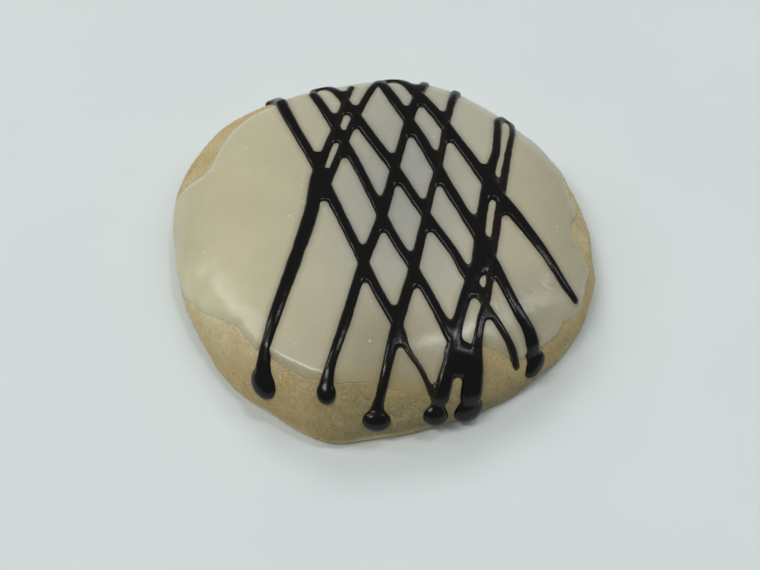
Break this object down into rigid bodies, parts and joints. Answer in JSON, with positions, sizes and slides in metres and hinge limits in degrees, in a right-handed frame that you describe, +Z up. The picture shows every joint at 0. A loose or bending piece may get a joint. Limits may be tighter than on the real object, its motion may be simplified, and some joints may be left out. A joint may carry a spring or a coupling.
{
  "type": "lemon cookie",
  "caption": "Thick round lemon cookie with a smooth pale glaze and a crossed lattice of piped dark chocolate ending in drops on the front flank.",
  "frame": {"origin": "centre of the outline box seen from above, on the flat underside", "axes": "+Z is up, square to the flat underside. The front, where the chocolate drops hang, faces -Y. +X is to the right of the front."},
  "size_m": [0.081, 0.0818, 0.0154],
  "materials": {
    "baked_crust": "dry baked crumb, pale tan with a browner foot",
    "lemon_glaze": "smooth set glaze with a soft waxy sheen, cream coloured",
    "dark_chocolate": "glossy, nearly black piped chocolate"
  },
  "bodies": {
    "root": {"cookie": "baked_crust", "icing": "lemon_glaze"}
  },
  "joints": []
}
